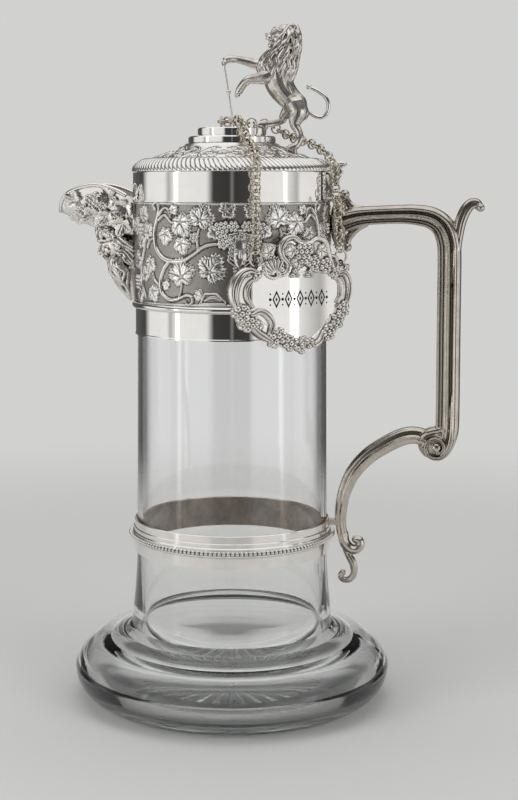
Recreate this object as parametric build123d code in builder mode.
from build123d import *
import math
import os

os.makedirs("parts", exist_ok=True)

# Claret jug: a glass body in a silver mount, with a hinged lid and a wine label hung on a chain.
# Millimetres. The origin is the centre of the resting face. +Z is up, the handle is at +X,
# the spout at -X, and the label hangs on the -Y side.

# ---------------------------------------------------------------- driving dimensions
# clearances
seat_gap = 0.05          # between fixed pieces that are cemented or soldered together
lid_gap = 0.3            # between the closed lid and the mount
running_gap = 0.06       # radial, hinge pin in the moving knuckle
knuckle_gap = 0.3        # axial, between knuckles

# glass body
foot_r = 57.0            # flat resting face
bulge_r = 71.0           # widest radius of the bowl
bulge_z = 14.8
shoulder_r = 48.5        # where the shoulder meets the neck
shoulder_z = 29.8
neck_foot_r = 45.7
neck_foot_z = 33.0
neck_low_r = 42.9        # neck radius behind the lower collar
neck_top_r = 42.4        # neck radius behind the mount
neck_wall = 2.3
bowl_wall = 4.5
floor_z = 7.0
glass_top_z = 201.0
star_rays = 32
star_in_r = 5.0
star_out_r = 40.0
star_depth = 1.2

# lower collar
collar_bottom_z = 66.8
collar_top_z = 81.2
collar_step_z = 78.0
bead_z = 74.0
bead_r = 0.95
collar_wall = 0.55
cement_gap = 0.5         # cement layer between glass and silver
bead_seat_lift = 0.75

# upper mount
skirt_bottom_z = 164.6
moulding_z = 176.2
moulding_h = 3.0
frieze_bottom_z = 179.2
frieze_top_z = 223.1
rim_z = 235.9
drum_r = 44.0            # outside of the frieze drum
drum_wall = 0.8
band_lift = 0.2          # the polished mouth band stands this much proud of the drum
wire_r = 0.3

# lid
lid_r = 44.4
border_in_r = 38.4
border_top_z = 242.2
flare = [(32.3, 243.4), (26.8, 245.0)]
neck_r = 20.5
lid_neck_z = 248.7
step_low_r = 19.5
step_low_h = 3.1
step_high_r = 15.3
step_high_h = 3.1
step_groove = 0.6
lid_wall = 0.8
bezel_h = 6.0
bezel_wall = 0.8
bezel_clear = 0.8

# hinge
hinge_x = 47.4
hinge_z = 236.2
knuckle_r = 1.9
pin_r = 0.8
centre_knuckle_w = 6.0
side_knuckle_w = 3.6
plate_w = 33.0
plate_t = 0.9
plate_h = 11.0
thumb_w = 5.0

# spout and mask
lip_wire_r = 1.0
spout_wall = 1.1
# stations along the spout: distance from the axis, half width, top, bottom
spout_stations = [
    (43.0, 12.5, 224.5, 203.5),
    (52.0, 11.5, 228.3, 206.5),
    (61.0, 10.0, 230.0, 210.5),
    (69.0, 8.0, 228.3, 214.0),
    (76.6, 4.2, 222.6, 217.6),
]
mask_axis_x = -50.5
mask_outline = [(6.5, 210.5), (9.8, 205.0), (10.6, 199.0), (9.2, 191.0), (6.0, 183.5), (1.5, 177.5)]
mask_top_z = 213.0
grape_r = 1.6
wreath_r = mask_outline[1][0] + 1.5    # ring of grapes seated round the brow
wreath_z = mask_outline[1][1] + 1.0
wreath_spread = 72       # degrees each side of the front
wreath_pitch = 18        # degrees from grape to grape

# handle
grip_x = 96.3            # centre of the upright
grip_w = 10.6
grip_d = 11.0
reeds = 8
arm_z = 217.4            # top of the arm's centre line
arm_start_z = 214.0
arm_start_x = 45.6
arm_knee_x = 63.0
grip_bottom_z = 118.0
corner_r = 13.0
curl_r = 2.2
lower_arm_r = 3.9
lower_arm_end_r = 2.7
drop_r = 1.15

# lion and staff
staff_r = 0.5
lion_half_w = 5.2
screw_r = 1.5

# chain
ring_r = 2.0             # to the centre of the wire
ring_wire_r = 0.4
link_pitch = 2.85
fall_links = 13
end_ring_r = 2.9
end_ring_wire_r = 0.45
fall_top_z = 238.9
left_fall = (16.5, -44.3)
right_fall = (46.4, -11.6)

# label
label_turn = 40.0        # degrees, the direction the label faces, from -Y towards +X
label_out = 46.6         # distance of the plate's middle surface from the axis
label_side = 4.6         # sideways offset of the label's middle
label_z = 184.5
label_curve_r = 104.0
label_w = 45.0
label_h = 34.0
plate_thick = 1.2
frame_w = 7.0
frame_thick = 2.0
eye_r = 1.25
eye_wire_r = 0.4
cluster_grape_r = 1.15


# ---------------------------------------------------------------- shared shapes
def turned(label, outline):
    """A ring or disc turned about the jug's axis from a closed outline of (r, z) points."""
    with BuildPart() as piece:
        with BuildSketch(Plane.XZ):
            with BuildLine():
                Polyline(*outline, close=True)
            make_face()
        revolve(axis=Axis.Z)
    piece.part.label = label
    return piece.part


def sleeve(label, inner, outer, low, high):
    """A plain cylindrical sleeve about the jug's axis."""
    return turned(label, [(inner, low), (outer, low), (outer, high), (inner, high)])


def save(part, name):
    part.label = name
    export_step(part, f"parts/{name}.step")


def limb(stations):
    """A tapering limb lofted through circles; each station is (x, y, z, radius)."""
    points = [Vector(*s[:3]) for s in stations]
    with BuildPart(mode=Mode.PRIVATE) as piece:
        for i, station in enumerate(stations):
            ahead = points[min(i + 1, len(points) - 1)] - points[max(i - 1, 0)]
            with BuildSketch(Plane(origin=points[i], z_dir=ahead)):
                Circle(station[3])
        loft()
    return piece.part


def link(centre, normal, radius=ring_r, wire=ring_wire_r):
    """One round chain link with the given plane normal."""
    with BuildPart(Plane(origin=centre, z_dir=normal), mode=Mode.PRIVATE) as piece:
        Torus(radius, wire)
    return piece.part


# ---------------------------------------------------------------- glass body
# one ray of the star under the foot: a V groove that widens and deepens outwards
ray_half = math.pi * star_out_r / star_rays * 0.96
with BuildPart() as star_ray:
    with BuildSketch(Plane.YZ.offset(star_in_r)):
        Polygon((-0.35, -0.1), (0.35, -0.1), (0, 0.25), align=None)
    with BuildSketch(Plane.YZ.offset(star_out_r)):
        Polygon((-ray_half, -0.1), (ray_half, -0.1), (0, star_depth), align=None)
    loft()

with BuildPart() as glass_body:
    with BuildSketch(Plane.XZ):
        with BuildLine():
            Line((0, 0), (foot_r, 0))
            ThreePointArc((foot_r, 0), (bulge_r - 3.4, 4.8), (bulge_r, bulge_z))
            ThreePointArc((bulge_r, bulge_z), (bulge_r - 8.2, 25.2), (shoulder_r, shoulder_z))
            Line((shoulder_r, shoulder_z), (neck_foot_r, neck_foot_z))
            ThreePointArc((neck_foot_r, neck_foot_z), (neck_low_r + 1.0, 49.0), (neck_low_r, 66.0))
            Polyline((neck_low_r, 66.0), (neck_low_r, collar_top_z), (neck_top_r, skirt_bottom_z),
                     (neck_top_r, glass_top_z), (neck_top_r - neck_wall, glass_top_z),
                     (neck_low_r - neck_wall, collar_top_z), (neck_low_r - neck_wall, 40.0))
            ThreePointArc((neck_low_r - neck_wall, 40.0), (44.5, 29.0), (54.0, 23.5))
            ThreePointArc((54.0, 23.5), (bulge_r - bowl_wall - 3.0, 19.5), (bulge_r - bowl_wall, 14.0))
            ThreePointArc((bulge_r - bowl_wall, 14.0), (bulge_r - bowl_wall - 3.5, 9.0), (foot_r - 2.0, floor_z))
            Polyline((foot_r - 2.0, floor_z), (0, floor_z), (0, 0))
        make_face()
    revolve(axis=Axis.Z)
    with PolarLocations(0, star_rays):
        add(star_ray.part, mode=Mode.SUBTRACT)
save(glass_body.part, "glass_body")

# ---------------------------------------------------------------- lower collar
collar_in_r = neck_low_r + cement_gap + 2 * seat_gap
collar_out_r = collar_in_r + collar_wall
collar_cement = sleeve("collar_cement", neck_low_r + seat_gap, collar_in_r - seat_gap,
                       collar_bottom_z + 0.4, collar_top_z - 0.6)
save(collar_cement, "collar_cement")

bead_seat_r = collar_out_r + bead_seat_lift
lower_collar = turned("lower_collar", [
    (collar_in_r, collar_bottom_z), (collar_out_r, collar_bottom_z),
    (collar_out_r, bead_z - 2.2), (bead_seat_r, bead_z - 1.7), (bead_seat_r, bead_z + 1.7),
    (collar_out_r + 0.35, bead_z + 2.1), (collar_out_r + 0.35, collar_step_z - 0.3),
    (collar_out_r, collar_step_z), (collar_out_r, collar_top_z - 0.2),
    (collar_out_r - 0.2, collar_top_z), (collar_in_r, collar_top_z)])
save(lower_collar, "lower_collar")

with BuildPart() as collar_beading:
    with BuildSketch(Plane.XZ):
        with Locations((bead_seat_r + bead_r, bead_z)):
            Circle(bead_r)
    revolve(axis=Axis.Z)
    Cylinder(bead_seat_r + seat_gap, 4 * bead_r + collar_top_z * 2, mode=Mode.SUBTRACT)
save(collar_beading.part, "collar_beading")

# ---------------------------------------------------------------- upper mount
drum_in_r = drum_r - drum_wall
mount_cement = sleeve("mount_cement", neck_top_r + seat_gap, drum_in_r - 2 * seat_gap - 0.4,
                      skirt_bottom_z + 0.8, glass_top_z - 0.5)
save(mount_cement, "mount_cement")

skirt_in_r = drum_in_r - seat_gap - 0.4
skirt_band = turned("skirt_band", [
    (skirt_in_r, skirt_bottom_z), (skirt_in_r + 0.75, skirt_bottom_z),
    (skirt_in_r + 0.75, skirt_bottom_z + 0.5), (skirt_in_r + 0.5, skirt_bottom_z + 0.8),
    (skirt_in_r + 0.5, moulding_z - seat_gap), (skirt_in_r, moulding_z - seat_gap)])
save(skirt_band, "skirt_band")

with BuildPart() as drum_moulding:
    with BuildSketch(Plane.XZ):
        with BuildLine():
            Polyline((drum_r - 0.2, moulding_z), (skirt_in_r, moulding_z),
                     (skirt_in_r, moulding_z + moulding_h), (drum_r - 0.2, moulding_z + moulding_h))
            ThreePointArc((drum_r - 0.2, moulding_z + moulding_h), (drum_r + 0.8, moulding_z + moulding_h / 2),
                          (drum_r - 0.2, moulding_z))
        make_face()
    revolve(axis=Axis.Z)
save(drum_moulding.part, "drum_moulding")

band_out_r = drum_r + band_lift
frieze_top_wire = sleeve("frieze_top_wire", band_out_r + seat_gap, band_out_r + seat_gap + 2 * wire_r,
                         frieze_top_z + seat_gap, frieze_top_z + seat_gap + 2 * wire_r)

mouth_band = sleeve("mouth_band", band_out_r - drum_wall, band_out_r, frieze_top_z + seat_gap, rim_z)
save(mouth_band, "mouth_band")


# ---------------------------------------------------------------- spout
def spout_loft(inset, start, end, above):
    """The spout's U sections, inset by the wall, run from start to end and raised above the lip."""
    stations = [(start, *spout_stations[0][1:])] + spout_stations[1:-1] + [(end, *spout_stations[-1][1:])]
    with BuildPart(mode=Mode.PRIVATE) as piece:
        for distance, half_w, top, bottom in stations:
            with BuildSketch(Plane(origin=(-distance, 0, top), x_dir=(0, 1, 0), z_dir=(-1, 0, 0))):
                with BuildLine():
                    EllipticalCenterArc((0, 0), half_w - inset, top - bottom - inset, 0, arc_size=180)
                    Polyline((half_w - inset, 0), (half_w - inset, -above),
                             (inset - half_w, -above), (inset - half_w, 0))
                make_face()
        loft()
    return piece.part


spout_tip = spout_stations[-1][0]
spout_outside = spout_loft(0, drum_r - 3.0, spout_tip, 0.01)
spout_channel = spout_loft(spout_wall, drum_r - 6.0, spout_tip + 0.6, 4.0)
spout_root_r = band_out_r + seat_gap

with BuildPart() as spout_shell:
    add(spout_outside)
    add(spout_channel, mode=Mode.SUBTRACT)
    with Locations((0, 0, frieze_top_z)):
        Cylinder(spout_root_r, 60, mode=Mode.SUBTRACT)
save(spout_shell.part, "spout_shell")

with BuildPart() as frieze_drum:
    with BuildSketch(Plane.XY.offset(frieze_bottom_z + seat_gap)):
        Circle(drum_r)
        Circle(drum_in_r, mode=Mode.SUBTRACT)
    extrude(amount=frieze_top_z - frieze_bottom_z - seat_gap)
    add(spout_channel, mode=Mode.SUBTRACT)
save(frieze_drum.part, "frieze_drum")

with BuildPart() as top_wire:
    add(frieze_top_wire)
    add(spout_outside, mode=Mode.SUBTRACT)
save(top_wire.part, "frieze_top_wire")

# the rolled lip follows the top edges of the spout and closes round its tip
lip_side = [(-distance, half_w, top + 0.4) for distance, half_w, top, _ in spout_stations[1:]]
lip_root = (-(drum_r + 1.6), spout_stations[0][1] - 0.4, spout_stations[0][2] + 1.2)
lip_tip = (-(spout_tip + 1.4), 0, spout_stations[-1][3] + 0.9)
lip_points = [lip_root] + lip_side + [lip_tip]
lip_points += [(x, -y, z) for x, y, z in reversed(lip_points[:-1])]
with BuildPart() as spout_lip:
    with BuildLine() as lip_path:
        Spline(*lip_points)
    with BuildSketch(Plane(origin=lip_path.line @ 0, z_dir=lip_path.line % 0)):
        Circle(lip_wire_r)
    sweep()
    add(spout_shell.part, mode=Mode.SUBTRACT)
    with Locations((0, 0, frieze_top_z)):
        Cylinder(spout_root_r, 60, mode=Mode.SUBTRACT)
save(spout_lip.part, "spout_lip")

with BuildPart() as spout_mask:
    with BuildSketch(Plane.XZ.offset(0)):
        with BuildLine():
            Line((mask_axis_x, mask_top_z), (mask_axis_x, mask_outline[-1][1] - 0.8))
            Spline((mask_axis_x, mask_outline[-1][1] - 0.8),
                   *[(mask_axis_x - r, z) for r, z in reversed(mask_outline)], (mask_axis_x, mask_top_z))
        make_face()
    revolve(axis=Axis((mask_axis_x, 0, 0), (0, 0, 1)))
    with Locations((0, 0, frieze_bottom_z)):
        Cylinder(spout_root_r, 120, mode=Mode.SUBTRACT)
    add(spout_outside, mode=Mode.SUBTRACT)
save(spout_mask.part, "spout_mask")

with BuildPart() as wreath_grapes:
    for turn in range(-wreath_spread, wreath_spread + 1, wreath_pitch):
        angle = math.radians(180 + turn)
        with Locations((mask_axis_x + wreath_r * math.cos(angle), wreath_r * math.sin(angle), wreath_z)):
            Sphere(grape_r)
save(wreath_grapes.part, "wreath_grapes")

# ---------------------------------------------------------------- handle
# the section of the grip: reeds round an oval core
with BuildSketch() as reeded_section:
    Ellipse(grip_w / 2 - 1.0, grip_d / 2 - 1.0)
    for reed in range(reeds):
        reed_angle = 2 * math.pi * (reed + 0.5) / reeds
        with Locations(((grip_w / 2 - 1.75) * math.cos(reed_angle), (grip_d / 2 - 1.75) * math.sin(reed_angle))):
            Circle(1.75)

volute_x = grip_x - 4.2
volute_z = grip_bottom_z - 0.7
volute_r = 8.9
strap_t = 3.0
scroll_eye_x = volute_x - 0.7
scroll_eye_z = volute_z - 2.6
scroll_eye_r = 4.6
scroll_hole_r = 1.3
web_d = grip_d - 4.4      # the thinner web between the strap and the eye
with BuildPart() as handle_volute:
    for depth, strap in ((web_d, volute_r - 0.4), (grip_d - 0.8, strap_t)):
        with BuildSketch(Plane.XZ.offset(-depth / 2)):
            with Locations((volute_x, volute_z)):
                Circle(volute_r)
                Circle(volute_r - strap, mode=Mode.SUBTRACT)
                with Locations((0, volute_r / 2 + 0.6)):
                    Rectangle(3 * volute_r, volute_r, mode=Mode.SUBTRACT)
            with Locations((scroll_eye_x, scroll_eye_z)):
                Circle(scroll_eye_r)
        extrude(amount=depth)
    for depth in (-grip_d / 2, grip_d / 2 - 2.0):
        with BuildSketch(Plane.XZ.offset(depth)):
            with Locations((scroll_eye_x, scroll_eye_z)):
                Circle(scroll_hole_r)
        extrude(amount=2.0, mode=Mode.SUBTRACT)
save(handle_volute.part, "handle_volute")

with BuildPart() as handle_grip:
    with BuildLine() as grip_path:
        FilletPolyline((arm_start_x - 2.0, 0, arm_start_z), (arm_knee_x, 0, arm_z), (grip_x, 0, arm_z),
                       (grip_x, 0, grip_bottom_z), radius=[45.0, corner_r])
    grip_start = Plane(origin=grip_path.line @ 0, x_dir=(0, 1, 0), z_dir=grip_path.line % 0)
    with BuildSketch(grip_start):
        add(reeded_section.sketch.rotate(Axis.Z, 90))
    sweep(transition=Transition.RIGHT)
    with Locations((0, 0, arm_z)):
        Cylinder(band_out_r + 2.2, 60, mode=Mode.SUBTRACT)
    add(handle_volute.part, mode=Mode.SUBTRACT)
save(handle_grip.part, "handle_grip")

# the outer strap leaves the upright at the corner and rolls over into the thumb curl
with BuildPart() as handle_thumb_curl:
    with BuildLine() as curl_path:
        l1 = ThreePointArc((grip_x + 1.6, 0, arm_z - 22.0), (grip_x + 3.7, 0, arm_z - 8.0),
                           (grip_x + 7.0, 0, arm_z + 4.4))
        l2 = ThreePointArc(l1 @ 1, (grip_x + 11.4, 0, arm_z + 6.4), (grip_x + 14.0, 0, arm_z + 3.6))
    with BuildSketch(Plane(origin=curl_path.line @ 0, x_dir=(0, 1, 0), z_dir=curl_path.line % 0)):
        Ellipse(grip_d / 2 - 1.4, curl_r)
    sweep()
    add(handle_grip.part, mode=Mode.SUBTRACT)
save(handle_thumb_curl.part, "handle_thumb_curl")

lower_arm_route = [
    (grip_x - 8.0, 118.6, 3.4), (80.0, 118.9, lower_arm_r), (71.9, 116.2, lower_arm_r), (62.0, 110.2, lower_arm_r),
    (54.8, 102.3, 3.5), (50.6, 92.4, 2.9), (49.2, 83.5, 2.5), (49.4, 77.0, 2.4), (51.0, 70.5, 2.3)]
lower_arm_curl = [(51.0, 70.5, 2.3), (53.0, 67.6, 2.3), (56.4, 66.9, 2.4), (58.0, 69.4, 2.2), (56.6, 71.6, 1.8)]
with BuildPart() as handle_lower_arm:
    add(limb([(x, 0, z, r) for x, z, r in lower_arm_route]))
    add(limb([(x, 0, z, r) for x, z, r in lower_arm_curl]))
    add(handle_volute.part, mode=Mode.SUBTRACT)
    add(handle_grip.part, mode=Mode.SUBTRACT)
save(handle_lower_arm.part, "handle_lower_arm")

with BuildPart() as handle_drop_scroll:
    with BuildLine() as drop_path:
        Spline((50.8, 0, 68.5), (52.6, 0, 63.2), (55.8, 0, 58.4), (53.8, 0, 53.4), (50.2, 0, 51.8),
               (48.0, 0, 54.8), (49.6, 0, 57.6))
    with BuildSketch(Plane(origin=drop_path.line @ 0, z_dir=drop_path.line % 0)):
        Circle(drop_r)
    sweep()
    add(handle_lower_arm.part, mode=Mode.SUBTRACT)
save(handle_drop_scroll.part, "handle_drop_scroll")

# the lug that joins the lower arm to the collar
with BuildPart() as handle_foot_lug:
    with BuildSketch(Plane.XY.offset(collar_step_z + 0.4)):
        with Locations(((collar_out_r + lower_arm_route[6][0]) / 2, 0)):
            Rectangle(lower_arm_route[6][0] - collar_out_r + 2.0, 4.0)
    extrude(amount=2.4)
    with Locations((0, 0, collar_step_z)):
        Cylinder(collar_out_r + seat_gap, 30, mode=Mode.SUBTRACT)
    add(handle_lower_arm.part, mode=Mode.SUBTRACT)
save(handle_foot_lug.part, "handle_foot_lug")

# the leaf boss behind the upper arm, and the forked scrolls with their ball ends
with BuildPart() as handle_socket:
    with BuildSketch(Plane.YZ.offset(drum_r - 3.0)):
        with Locations((0, arm_start_z - 0.5)):
            Ellipse(6.0, 11.0)
    with BuildSketch(Plane.YZ.offset(drum_r + 4.6)):
        with Locations((0, arm_start_z + 0.4)):
            Ellipse(4.6, 5.2)
    loft()
    with Locations((0, 0, arm_z)):
        Cylinder(band_out_r + seat_gap, 80, mode=Mode.SUBTRACT)
    add(handle_grip.part, mode=Mode.SUBTRACT)
save(handle_socket.part, "handle_socket")

fork_ball_r = 2.0
fork_wire_r = 1.2
with BuildPart() as socket_scrolls:
    for ball, knee, foot in (((50.2, 226.4), (51.8, 222.6), (57.0, 220.6)),
                             ((51.0, 203.4), (50.2, 206.2), (53.5, 210.6))):
        with BuildLine() as fork_path:
            ThreePointArc((ball[0], 0, ball[1]), (knee[0], 0, knee[1]), (foot[0], 0, foot[1]))
        with BuildSketch(Plane(origin=fork_path.line @ 0, z_dir=fork_path.line % 0)):
            Circle(fork_wire_r)
        sweep()
        with Locations((ball[0], 0, ball[1])):
            Sphere(fork_ball_r)
    add(handle_grip.part, mode=Mode.SUBTRACT)
    add(handle_socket.part, mode=Mode.SUBTRACT)
save(socket_scrolls.part, "socket_scrolls")

# ---------------------------------------------------------------- hinge
plate_out_r = band_out_r + seat_gap + plate_t
plate_top_z = rim_z - 1.0
with BuildPart() as hinge_plate:
    with BuildSketch(Plane.XY.offset(plate_top_z - plate_h)):
        Circle(plate_out_r)
        Circle(band_out_r + seat_gap, mode=Mode.SUBTRACT)
        with Locations((plate_out_r, 0)):
            Rectangle(plate_out_r, plate_w, mode=Mode.INTERSECT)
    extrude(amount=plate_h)
    add(frieze_top_wire, mode=Mode.SUBTRACT)
    add(handle_socket.part, mode=Mode.SUBTRACT)
save(hinge_plate.part, "hinge_plate")

side_knuckle_y = centre_knuckle_w / 2 + knuckle_gap + side_knuckle_w / 2
pin_length = 2 * side_knuckle_y + side_knuckle_w + 0.8
with BuildPart() as fixed_knuckles:
    for side in (-1, 1):
        with BuildSketch(Plane.XZ.offset(-side * side_knuckle_y)):
            with Locations((hinge_x, hinge_z)):
                Circle(knuckle_r)
            Polygon((plate_out_r - 1.0, plate_top_z - 5.0), (plate_out_r + 0.6, plate_top_z - 5.0),
                    (hinge_x + knuckle_r - 0.2, hinge_z - 0.6), (plate_out_r - 1.0, hinge_z - 1.9), align=None)
        extrude(amount=side_knuckle_w / 2, both=True)
    with BuildSketch(Plane.XZ.offset(-pin_length)):
        with Locations((hinge_x, hinge_z)):
            Circle(pin_r + seat_gap)
    extrude(amount=2 * pin_length, mode=Mode.SUBTRACT)
    with Locations((0, 0, rim_z)):
        Cylinder(plate_out_r + seat_gap, 60, mode=Mode.SUBTRACT)
save(fixed_knuckles.part, "fixed_knuckles")

with BuildPart() as hinge_pin:
    with BuildSketch(Plane.XZ.offset(-pin_length / 2)):
        with Locations((hinge_x, hinge_z)):
            Circle(pin_r)
    extrude(amount=pin_length)
save(hinge_pin.part, "hinge_pin")

lid_bottom_z = rim_z + lid_gap
with BuildPart() as lid_knuckle:
    with BuildSketch(Plane.XZ.offset(-centre_knuckle_w / 2)):
        with Locations((hinge_x, hinge_z)):
            Circle(knuckle_r)
        Polygon((lid_r - 1.0, lid_bottom_z + 0.4), (hinge_x, lid_bottom_z + 0.4), (hinge_x + 0.6, hinge_z + knuckle_r - 0.1),
                (lid_r - 1.0, lid_bottom_z + 4.0), align=None)
    extrude(amount=centre_knuckle_w)
    with BuildSketch(Plane.XZ.offset(-pin_length)):
        with Locations((hinge_x, hinge_z)):
            Circle(pin_r + running_gap)
    extrude(amount=2 * pin_length, mode=Mode.SUBTRACT)
    with Locations((0, 0, rim_z)):
        Cylinder(lid_r + 0.3, 60, mode=Mode.SUBTRACT)
save(lid_knuckle.part, "lid_knuckle")

# the thumbpiece is a short rolled strap that rises from the moving knuckle
with BuildPart() as thumbpiece:
    with BuildSketch(Plane.XZ.offset(-thumb_w / 2)):
        with BuildLine():
            l1 = Line((hinge_x - 1.0, hinge_z + 1.4), (hinge_x - 1.2, hinge_z + 2.6))
            l2 = ThreePointArc(l1 @ 1, (hinge_x + 0.8, hinge_z + 4.5), (hinge_x + 3.4, hinge_z + 4.1))
            l3 = ThreePointArc(l2 @ 1, (hinge_x + 3.8, hinge_z + 3.2), (hinge_x + 2.8, hinge_z + 2.6))
            l4 = Line(l3 @ 1, (hinge_x + 1.2, hinge_z + 1.2))
            Line(l4 @ 1, l1 @ 0)
        make_face()
    extrude(amount=thumb_w)
    add(lid_knuckle.part, mode=Mode.SUBTRACT)
    with BuildSketch(Plane.XZ.offset(-pin_length)):
        with Locations((hinge_x, hinge_z)):
            Circle(knuckle_r - 0.2)
    extrude(amount=2 * pin_length, mode=Mode.SUBTRACT)
save(thumbpiece.part, "thumbpiece")

# ---------------------------------------------------------------- lid
lid_border = turned("lid_border", [
    (border_in_r, lid_bottom_z), (lid_r - 0.4, lid_bottom_z), (lid_r, lid_bottom_z + 0.5),
    (lid_r + 0.2, lid_bottom_z + 1.8), (lid_r - 0.6, lid_bottom_z + 3.7), (lid_r - 2.6, border_top_z - 0.9),
    (border_in_r + 0.6, border_top_z), (border_in_r, border_top_z)])
save(lid_border, "lid_border")

bezel_out_r = band_out_r - drum_wall - bezel_clear
lid_bezel = sleeve("lid_bezel", bezel_out_r - bezel_wall, bezel_out_r, lid_bottom_z - bezel_h,
                   lid_bottom_z - seat_gap)
save(lid_bezel, "lid_bezel")

dome_top = [(border_in_r - seat_gap, border_top_z)] + flare + [(neck_r + 2.1, 247.0), (neck_r, lid_neck_z)]
dome_under = [(r - 0.35, z - lid_wall) for r, z in dome_top[:-1]]
lid_dome = turned("lid_dome", dome_top + [(neck_r - 3.0, lid_neck_z), (neck_r - 3.0, lid_neck_z - lid_wall),
                                          (neck_r - 0.6, lid_neck_z - lid_wall)]
                  + list(reversed(dome_under[1:])) + [(border_in_r - seat_gap, border_top_z - lid_wall)])
save(lid_dome, "lid_dome")

step_low_z = lid_neck_z + seat_gap
step_low_top_z = step_low_z + step_low_h
step_high_z = step_low_top_z + seat_gap
step_high_top_z = step_high_z + step_groove + step_high_h
stud_x = 12.5
stud_y = 4.5
with BuildPart() as lid_step_low:
    with BuildSketch(Plane.XZ):
        Polygon((0, step_low_top_z - 1.2), (step_low_r - 0.9, step_low_top_z - 1.2), (step_low_r - 0.9, step_low_z),
                (step_low_r - 0.2, step_low_z), (step_low_r, step_low_z + 0.3), (step_low_r, step_low_top_z - 0.5),
                (step_low_r - 0.5, step_low_top_z), (0, step_low_top_z), align=None)
    revolve(axis=Axis.Z)
    with Locations((stud_x, stud_y, step_low_top_z)):
        Cylinder(screw_r + seat_gap, 20, mode=Mode.SUBTRACT)
save(lid_step_low.part, "lid_step_low")

with BuildPart() as lid_step_high:
    with BuildSketch(Plane.XZ):
        Polygon((0, step_high_z), (step_high_r - 0.5, step_high_z), (step_high_r - 0.5, step_high_z + step_groove),
                (step_high_r, step_high_z + step_groove), (step_high_r, step_high_top_z - 0.4),
                (step_high_r - 0.4, step_high_top_z), (0, step_high_top_z), align=None)
    revolve(axis=Axis.Z)
    with Locations((stud_x, stud_y, step_low_top_z)):
        Cylinder(screw_r + seat_gap, 20, mode=Mode.SUBTRACT)
save(lid_step_high.part, "lid_step_high")

platform_z = step_high_top_z
nut_h = 2.2
washer_t = 0.5
with BuildPart() as finial_stud:
    with BuildSketch(Plane.XY.offset(step_low_top_z - 1.2 - washer_t - nut_h - 1.0)):
        with Locations((stud_x, stud_y)):
            Circle(screw_r)
    extrude(amount=platform_z - (step_low_top_z - 1.2 - washer_t - nut_h - 1.0))
save(finial_stud.part, "finial_stud")

with BuildPart() as finial_washer:
    with BuildSketch(Plane.XY.offset(step_low_top_z - 1.2 - seat_gap - washer_t)):
        with Locations((stud_x, stud_y)):
            Circle(3.6)
            Circle(screw_r + seat_gap, mode=Mode.SUBTRACT)
    extrude(amount=washer_t)
save(finial_washer.part, "finial_washer")

with BuildPart() as finial_nut:
    with BuildSketch(Plane.XY.offset(step_low_top_z - 1.2 - 2 * seat_gap - washer_t - nut_h)):
        with Locations((stud_x, stud_y)):
            RegularPolygon(2.9, 6)
            Circle(screw_r + seat_gap, mode=Mode.SUBTRACT)
    extrude(amount=nut_h)
save(finial_nut.part, "finial_nut")

# ---------------------------------------------------------------- lion, tail and staff
# stations are (x, y, z, radius); the lion faces the spout and stands on its far hind foot
lion_torso = [(31.0, 0, 261.5, 3.6), (28.6, 0, 265.2, 5.0), (25.0, 0, 269.8, 5.1), (22.4, 0, 274.6, 5.7),
              (21.4, 0, 280.4, 7.2), (22.6, 0, 287.0, 7.6), (24.2, 0, 293.5, 6.4), (25.6, 0, 298.4, 4.6),
              (26.2, 0, 301.4, 1.8)]
lion_muzzle = [(25.0, 0, 296.6, 4.4), (20.4, 0, 296.0, 3.7), (17.2, 0, 295.2, 2.7), (15.4, 0, 294.8, 2.0)]
far_foreleg = [(17.5, 3.2, 283.6, 3.2), (10.5, 3.4, 283.6, 2.3), (4.0, 2.4, 285.0, 1.6), (-1.0, 0.8, 286.0, 1.6),
               (-3.4, 0.2, 285.6, 1.5)]
near_foreleg = [(18.5, -3.4, 279.5, 3.2), (12.4, -4.2, 277.6, 2.3), (7.2, -4.4, 276.6, 1.8), (4.2, -4.0, 274.4, 1.4),
                (2.2, -3.4, 271.6, 1.7)]
near_hind = [(29.0, -3.2, 264.6, 4.2), (30.2, -4.8, 259.6, 2.9), (29.8, -6.2, 255.4, 1.8), (31.0, -7.4, 251.2, 1.5),
             (29.8, -8.2, 247.4, 1.6), (27.6, -8.6, 246.2, 1.6)]
far_hind = [(27.0, 3.0, 265.0, 3.9), (23.4, 4.2, 262.0, 2.8), (22.0, 4.6, 259.4, 1.7), (18.4, 4.7, 257.9, 1.6),
            (14.0, 4.7, 257.3, 1.6), (10.6, 4.7, 257.0, 1.3)]

with BuildPart() as staff:
    with BuildSketch(Plane(origin=(0.8, 0, platform_z + seat_gap), z_dir=(-4.9, 0, 31.1))):
        Circle(staff_r)
    extrude(amount=31.4)
    with Locations((-1.5, 0, 271.5)):
        Sphere(2 * staff_r)
    with Locations((0.8, 0, platform_z + seat_gap + 0.6)):
        Cylinder(1.4, 1.2)
save(staff.part, "staff")

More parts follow.
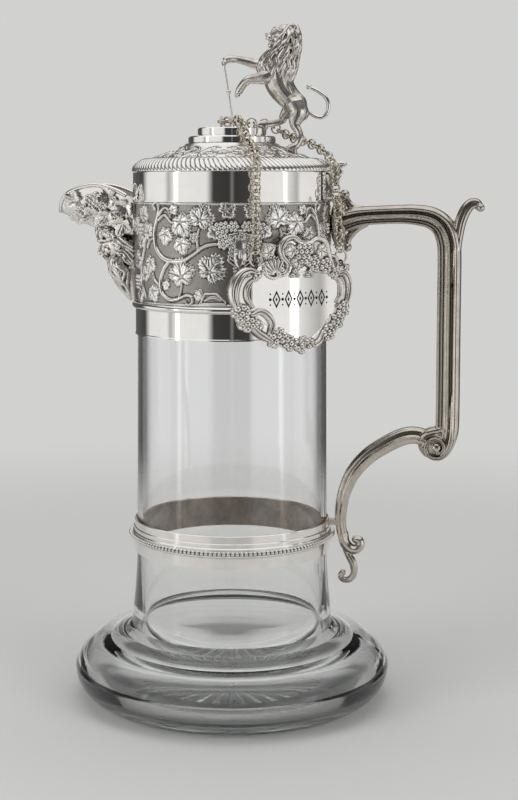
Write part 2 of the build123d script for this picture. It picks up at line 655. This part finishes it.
lion_paw_pad = 1.3
with BuildPart() as lion:
    for stations in (lion_torso, lion_muzzle, far_foreleg, near_foreleg, near_hind, far_hind):
        add(limb(stations))
    # ears, and the pads that seat the hind feet on the platform and on the flare
    for side in (-1, 1):
        with Locations((27.2, side * 3.6, 299.6)):
            Sphere(1.5)
    with Locations((stud_x, stud_y, platform_z + seat_gap + lion_paw_pad / 2)):
        Cylinder(1.9, lion_paw_pad)
    with BuildSketch(Plane.XY.offset(lid_neck_z - 5.0)):
        with Locations((28.6, -8.4)):
            Ellipse(2.2, 1.7)
    extrude(amount=3.4)
    # trimmed to the platform below and to the flare
    with BuildSketch(Plane.XZ):
        with BuildLine():
            Polyline((0, platform_z + seat_gap), (step_high_r + 0.1, platform_z + seat_gap),
                     (step_high_r + 0.1, step_low_top_z + seat_gap), (neck_r, step_low_top_z + seat_gap),
                     (neck_r, lid_neck_z), *[(r, z + seat_gap) for r, z in reversed(dome_top[:-1])],
                     (border_in_r, lid_bottom_z), (0, lid_bottom_z), close=True)
        make_face()
    revolve(axis=Axis.Z, mode=Mode.SUBTRACT)
    add(staff.part, mode=Mode.SUBTRACT)
save(lion.part, "lion")

with BuildPart() as lion_tail:
    with BuildLine() as tail_path:
        Spline((33.0, 0, 264.2), (36.6, 0, 260.8), (40.4, 0, 260.2), (42.8, 0, 264.0), (41.2, 0, 269.2),
               (37.6, 0, 271.8), (34.6, 0, 273.2))
    with BuildSketch(Plane(origin=tail_path.line @ 0, z_dir=tail_path.line % 0)):
        Circle(0.85)
    sweep()
    with Locations((34.2, 0, 273.4)):
        Sphere(1.2)
    add(lion.part, mode=Mode.SUBTRACT)
save(lion_tail.part, "lion_tail")

# ---------------------------------------------------------------- label frame of reference
turn = math.radians(label_turn)
label_normal = Vector(math.sin(turn), -math.cos(turn), 0)
label_across = Vector(math.cos(turn), math.sin(turn), 0)
label_origin = label_normal * label_out + label_across * label_side + Vector(0, 0, label_z)
label_plane = Plane(origin=label_origin, x_dir=label_across, z_dir=label_normal)
eye_x = 21.85
eye_y = label_h / 2 - 4.6
eye_n = -0.5
end_ring_y = eye_y + end_ring_r


def label_point(across, up, out):
    return label_origin + label_across * across + Vector(0, 0, up) + label_normal * out


# ---------------------------------------------------------------- chain
fall_tops = [Vector(*left_fall, fall_top_z), Vector(*right_fall, fall_top_z)]
fall_ends = [label_point(side * eye_x, end_ring_y, eye_n) for side in (-1, 1)]
swing_axis = (fall_tops[1] - fall_tops[0]).normalized()

with BuildPart() as chain_falls:
    for top, end in zip(fall_tops, fall_ends):
        fall = end - top
        along = fall.normalized()
        pitch = (fall.length + 2 * ring_r - end_ring_r) / (fall_links + 1)
        for i in range(fall_links):
            centre = top + along * (pitch - ring_r + i * pitch)
            normal = swing_axis if i % 2 == 0 else swing_axis.cross(along)
            add(link(centre, normal))
save(chain_falls.part, "chain_falls")

with BuildPart() as label_end_rings:
    for end in fall_ends:
        add(link(end, label_normal, end_ring_r, end_ring_wire_r))
save(label_end_rings.part, "label_end_rings")

# over the lid: from the left fall up to the staff, once round it, behind the far hind
# foot, between the legs and down to the right fall
saddle_route = [
    tuple(fall_tops[0]), (15.2, -40.6, 243.6), (14.4, -35.2, 245.2), (12.4, -27.6, 246.9), (10.2, -22.2, 249.6),
    (8.0, -19.6, 254.2), (5.4, -14.6, 258.2), (1.6, -7.0, 258.4), (-3.6, -3.6, 258.4), (-4.4, 2.0, 258.4),
    (0.0, 6.4, 258.4), (6.0, 9.2, 258.2), (12.6, 10.0, 258.0), (17.4, 9.8, 256.2), (22.2, 8.2, 253.6),
    (26.2, 4.4, 251.6), (30.4, 0.6, 250.2), (36.0, -3.8, 248.2), (41.6, -8.2, 244.8), tuple(fall_tops[1])]
with BuildPart() as chain_saddle:
    with BuildLine(mode=Mode.PRIVATE) as saddle_line:
        saddle_curve = Spline(*saddle_route)
    saddle_length = saddle_curve.length
    saddle_gaps = 2 * round((saddle_length - 2 * ring_r) / (2 * link_pitch))
    for i in range(saddle_gaps + 1):
        place = (ring_r + i * (saddle_length - 2 * ring_r) / saddle_gaps) / saddle_length
        centre = saddle_curve @ place
        along = saddle_curve % place
        level = along.cross(Vector(0, 0, 1)).normalized()
        if i in (0, saddle_gaps):
            level = swing_axis
        normal = level.cross(along).normalized() if i % 2 == 0 else level
        add(link(centre, normal))
save(chain_saddle.part, "chain_saddle")

# ---------------------------------------------------------------- label
label_axis_xy = label_origin - label_normal * label_curve_r


def curved(inner, outer):
    """The space between two radii about the label's centre of curvature."""
    with BuildPart(mode=Mode.PRIVATE) as piece:
        with BuildSketch(Plane.XY.offset(label_z - 60)):
            with Locations((label_axis_xy.X, label_axis_xy.Y)):
                Circle(outer)
                Circle(inner, mode=Mode.SUBTRACT)
        extrude(amount=120)
    return piece.part


plate_inner = label_curve_r - plate_thick / 2
plate_outer = label_curve_r + plate_thick / 2
label_mid_y = -2.6
with BuildPart() as label_plate:
    with BuildSketch(label_plane.offset(-20)):
        with Locations((0, label_mid_y)):
            RectangleRounded(label_w, label_h, 9)
    extrude(amount=40)
    add(curved(plate_inner, plate_outer), mode=Mode.INTERSECT)
save(label_plate.part, "label_plate")

# the border: a lobed outline with a crest, scrolls at the sides and a drop at the foot
with BuildPart() as label_frame:
    with BuildSketch(label_plane.offset(-20)):
        with Locations((0, label_mid_y)):
            RectangleRounded(label_w + 6.0, label_h - 8.0, 11)
        with Locations((0, label_mid_y - label_h / 2 + 0.6)):
            Ellipse(13.0, 6.6)
        with Locations((2.0, label_mid_y + label_h / 2 + 1.0)):
            Ellipse(11.5, 9.6)
        for side in (-1, 1):
            with Locations((side * (label_w / 2 + 1.0), label_mid_y + 2.0)):
                Circle(5.6)
            with Locations((side * (label_w / 2 - 5.6), label_mid_y - label_h / 2 + 5.4)):
                Circle(7.0)
        with Locations((0, label_mid_y + 0.4)):
            RectangleRounded(label_w - 7.0, label_h - 9.0, 9, mode=Mode.SUBTRACT)
    extrude(amount=40)
    add(curved(plate_outer + seat_gap, plate_outer + seat_gap + frame_thick), mode=Mode.INTERSECT)
    # the eyes that hang on the end rings
    for side in (-1, 1):
        add(link(label_point(side * eye_x, eye_y, eye_n), label_across, eye_r, eye_wire_r))
    for side in (-1, 1):
        with BuildSketch(Plane(origin=label_point(side * eye_x, eye_y - eye_r - 0.2, eye_n), z_dir=(0, 0, -1))):
            Circle(0.55)
        extrude(amount=5.0)
    add(label_plate.part, mode=Mode.SUBTRACT)
save(label_frame.part, "label_frame")

cluster_places = [(-17.0, -14.5), (18.0, -13.0), (-9.0, 15.0), (9.5, 13.5)]
with BuildPart() as label_grapes:
    for across, up in cluster_places:
        for i in range(7):
            spread = 2.0 * cluster_grape_r * (0 if i == 0 else 1)
            lean = math.radians(60 * i)
            u = across + spread * math.cos(lean)
            v = up + spread * math.sin(lean)
            sink = label_curve_r - math.sqrt(label_curve_r ** 2 - u ** 2)
            with Locations(label_point(u, v, plate_thick / 2 + frame_thick + 0.5 - sink)):
                Sphere(cluster_grape_r)
    add(label_frame.part, mode=Mode.SUBTRACT)
save(label_grapes.part, "label_grapes")
print("saddle links", saddle_gaps + 1, "pitch", round((saddle_length - 2 * ring_r) / saddle_gaps, 3))
